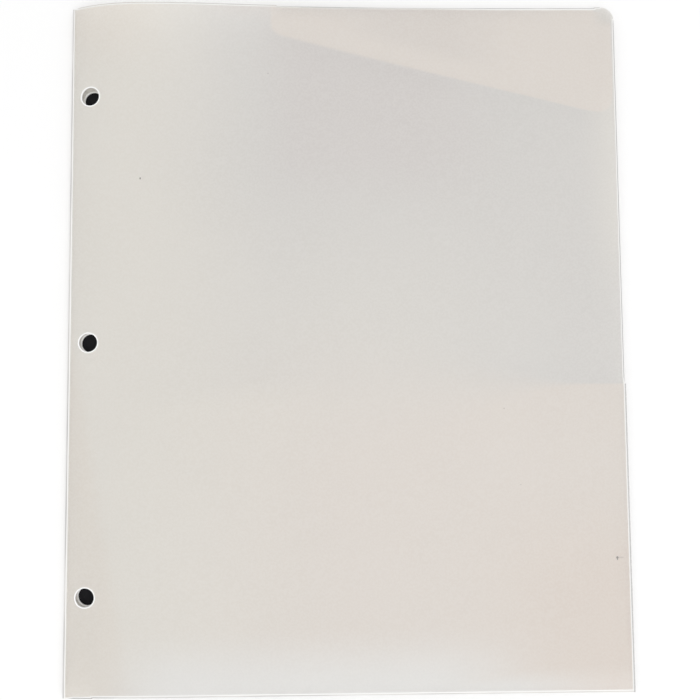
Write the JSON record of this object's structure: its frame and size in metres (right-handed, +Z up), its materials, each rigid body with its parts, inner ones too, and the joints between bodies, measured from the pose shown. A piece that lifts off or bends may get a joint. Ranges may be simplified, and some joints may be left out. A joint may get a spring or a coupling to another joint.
{
  "type": "pocket folder",
  "caption": "Closed milky plastic pocket folder with ring holes along the spine, pockets folded up from the bottom edge and slanted retaining tabs folded in from the top edge.",
  "frame": {"origin": "on the table under the middle of the closed folder, at the centre of the back cover's outer face", "axes": "+X from the spine towards the open edge, +Y up the page towards the tabs, +Z up through the closed folder's thickness"},
  "size_m": [0.2412, 0.2978, 0.0115],
  "materials": {
    "milky_sheet": "fine matte grain, milky polypropylene sheet",
    "worked_edge": "slightly glossy where the sheet is creased or sealed"
  },
  "bodies": {
    "back": {"back_cover": "milky_sheet", "back_pocket": "milky_sheet", "back_pocket_fold": "worked_edge", "back_pocket_seal": "worked_edge", "back_score": "worked_edge"},
    "spine": {"spine": "milky_sheet", "front_score": "worked_edge"},
    "front": {"front_cover": "milky_sheet", "front_pocket": "milky_sheet", "front_pocket_fold": "worked_edge", "front_pocket_seal": "worked_edge"},
    "front_tab": {"front_tab": "milky_sheet", "front_tab_crease": "worked_edge"},
    "back_tab": {"back_tab": "milky_sheet", "back_tab_crease": "worked_edge"}
  },
  "joints": [
    {"name": "spine_hinge", "type": "hinge", "parent": "back", "child": "spine", "pos_m": [-0.1203, 0, 0.0003], "axis": [0, -1, 0], "range_deg": [0, 64]},
    {"name": "cover_hinge", "type": "hinge", "parent": "spine", "child": "front", "pos_m": [-0.1203, 0, 0.0041], "axis": [0, -1, 0], "range_deg": [0, 96]},
    {"name": "front_tab_hinge", "type": "hinge", "parent": "front", "child": "front_tab", "pos_m": [-0.03, 0.148, 0.00697], "axis": [0.9996, 0, -0.0299], "range_deg": [0, 64]},
    {"name": "back_tab_hinge", "type": "hinge", "parent": "back", "child": "back_tab", "pos_m": [-0.03, 0.148, 0.00075], "axis": [-1, 0, 0], "range_deg": [0, 64]}
  ],
  "couplings": [
    {"joint": "spine_hinge", "follows": "cover_hinge", "ratio": 0.66667},
    {"joint": "front_tab_hinge", "follows": "cover_hinge", "ratio": 0.66667},
    {"joint": "back_tab_hinge", "follows": "cover_hinge", "ratio": 0.66667}
  ]
}
